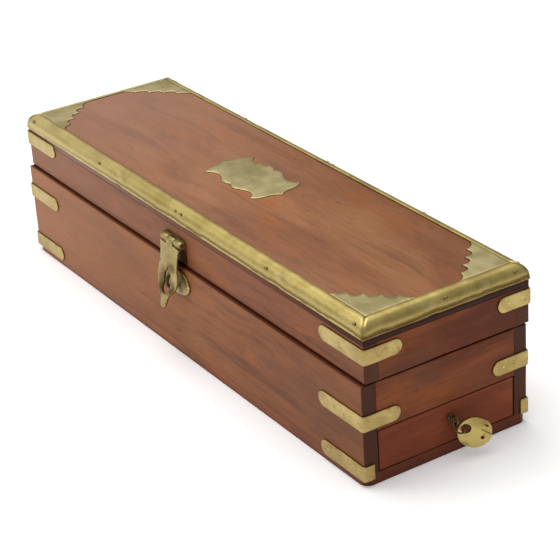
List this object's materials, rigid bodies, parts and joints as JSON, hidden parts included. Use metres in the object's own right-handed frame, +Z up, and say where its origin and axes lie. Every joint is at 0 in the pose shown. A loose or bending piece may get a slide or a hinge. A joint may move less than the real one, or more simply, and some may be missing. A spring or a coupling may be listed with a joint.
{
  "type": "fountain pen case",
  "caption": "Brass-bound hardwood pen box: hinged lid with hasp and staple, lined pen bay, and a full-length drawer below that pulls out of one end.",
  "frame": {"origin": "centre of the box's underside, on the surface it stands on", "axes": "+X along the box towards the end that the drawer pulls out of, -Y towards the hasp, +Z up"},
  "size_m": [0.3131, 0.1016, 0.0769],
  "materials": {
    "wood_side": "satin, warm red-brown with dark streaks along the length",
    "wood_top": "satin, lighter pinkish brown, straight grain",
    "wood_end": "satin, darker red-brown",
    "wood_inside": "plain, unpolished",
    "brass_aged": "aged, olive-gold, fine scratches and stains",
    "brass_bright": "worn bright along its round, small dents",
    "brass_dark": "dark tarnish",
    "velvet": "short pile velvet, dark red"
  },
  "bodies": {
    "case": {"bottom_board": "wood_side", "case_front_board": "wood_side", "case_back_board": "wood_side", "case_left_end": "wood_end", "case_right_end_panel": "wood_end", "compartment_floor": "wood_inside", "compartment_lining": "velvet", "pen_rest_left": "wood_inside", "pen_rest_right": "wood_inside", "lower_strap_front_left": "brass_aged", "lower_strap_back_left": "brass_aged", "lower_strap_front_right": "brass_aged", "lower_strap_back_right": "brass_aged", "upper_strap_front_left": "brass_aged", "upper_strap_back_left": "brass_aged", "upper_strap_front_right": "brass_aged", "upper_strap_back_right": "brass_aged", "staple_plate": "brass_aged", "staple": "brass_dark", "hinge_case_leaf_left": "brass_aged", "hinge_case_leaf_right": "brass_aged", "hinge_pin_left": "brass_dark", "hinge_pin_right": "brass_dark"},
    "lid": {"lid_front_board": "wood_side", "lid_back_board": "wood_side", "lid_left_end": "wood_end", "lid_right_end": "wood_end", "lid_top_panel": "wood_top", "lid_lining": "velvet", "lid_trim_front": "brass_bright", "lid_trim_back": "brass_bright", "lid_trim_left": "brass_bright", "lid_trim_right": "brass_bright", "lid_corner_plate_front_left": "brass_aged", "lid_corner_plate_back_left": "brass_aged", "lid_corner_plate_front_right": "brass_aged", "lid_corner_plate_back_right": "brass_aged", "lid_cartouche": "brass_aged", "lid_strap_front_left": "brass_aged", "lid_strap_back_left": "brass_aged", "lid_strap_front_right": "brass_aged", "lid_strap_back_right": "brass_aged", "hinge_lid_leaf_left": "brass_aged", "hinge_lid_leaf_right": "brass_aged", "hasp_leaf": "brass_aged", "hasp_pin": "brass_dark"},
    "hasp": {"hasp_plate": "brass_aged"},
    "drawer": {"drawer_front": "wood_end", "drawer_side_front": "wood_inside", "drawer_side_back": "wood_inside", "drawer_inner_end": "wood_inside", "drawer_bottom": "wood_inside", "drawer_lining": "velvet", "pull_screw_eye": "brass_dark"},
    "pull_ring": {"pull_ring": "brass_bright"},
    "pull_disc": {"pull_disc": "brass_bright"}
  },
  "joints": [
    {"name": "lid_hinge", "type": "hinge", "parent": "case", "child": "lid", "pos_m": [0, 0.0472, 0.04855], "axis": [-1, 0, 0], "range_deg": [0, 110]},
    {"name": "hasp_hinge", "type": "hinge", "parent": "lid", "child": "hasp", "pos_m": [0.0006, -0.04345, 0.06], "axis": [-1, 0, 0], "range_deg": [-8, 120]},
    {"name": "drawer_slide", "type": "slide", "parent": "case", "child": "drawer", "axis": [1, 0, 0], "range_m": [0, 0.22]},
    {"name": "pull_ring_swing", "type": "hinge", "parent": "drawer", "child": "pull_ring", "pos_m": [0.15305, 0.0016, 0.0174], "axis": [0, -1, 0], "range_deg": [-15, 85]},
    {"name": "pull_disc_swing", "type": "hinge", "parent": "pull_ring", "child": "pull_disc", "pos_m": [0.156, 0.0051, 0.0137], "axis": [0.8526, -0.5225, 0], "range_deg": [-20, 20]}
  ]
}
